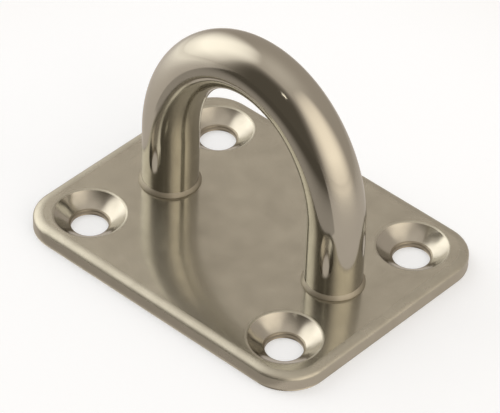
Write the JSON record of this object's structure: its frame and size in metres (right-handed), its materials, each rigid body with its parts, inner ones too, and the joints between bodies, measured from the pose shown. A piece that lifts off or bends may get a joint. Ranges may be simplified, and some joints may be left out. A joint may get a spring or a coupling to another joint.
{
  "type": "pad eye",
  "caption": "Stainless pad eye: rectangular base plate with countersunk corner holes and a bent round bar welded in as a fixed eye.",
  "frame": {"origin": "middle of the base plate's underside, the face that lies on the deck", "axes": "+X along the plate's long side and across the eye from leg to leg, +Y across the plate and through the eye, +Z out of the deck towards the crown of the eye"},
  "size_m": [0.051, 0.0398, 0.0344],
  "materials": {
    "plate_steel": "pressed stainless sheet, buffed to a satin mirror",
    "bar_steel": "round stainless bar, polished bright along its length",
    "weld_collar_steel": "small stainless weld bead, buffed with the plate",
    "plug_weld_steel": "stainless weld metal, ground flush"
  },
  "bodies": {
    "root": {"base_plate": "plate_steel", "eye_bow": "bar_steel", "weld_collar_left": "weld_collar_steel", "weld_collar_right": "weld_collar_steel", "plug_weld_left": "plug_weld_steel", "plug_weld_right": "plug_weld_steel"}
  },
  "joints": []
}
